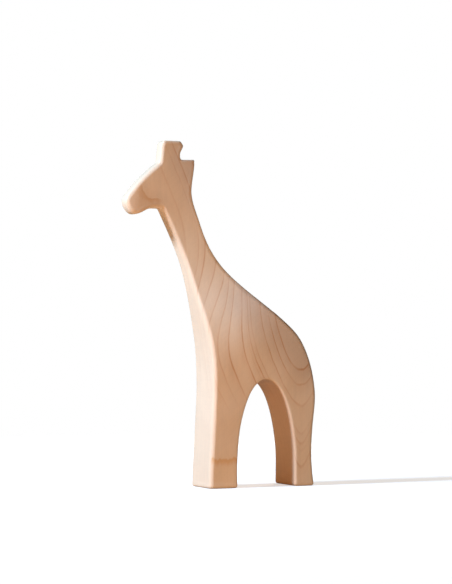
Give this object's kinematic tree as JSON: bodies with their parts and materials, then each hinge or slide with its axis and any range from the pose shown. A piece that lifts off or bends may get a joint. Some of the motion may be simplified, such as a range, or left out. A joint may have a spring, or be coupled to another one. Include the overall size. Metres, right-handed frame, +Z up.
{
  "type": "wooden giraffe figure",
  "caption": "Free-standing giraffe silhouette sawn from one board of pale maple, edges rounded over, neck and head thinned, arch between front and rear leg.",
  "frame": {"origin": "centre of the bounding box at floor level, in the middle of the board's thickness", "axes": "+Z up, -X the way the giraffe looks, +Y through the board's thickness"},
  "size_m": [0.1173, 0.027, 0.2],
  "materials": {
    "maple": "sanded, satin"
  },
  "bodies": {
    "root": {"giraffe_body": "maple"}
  },
  "joints": []
}
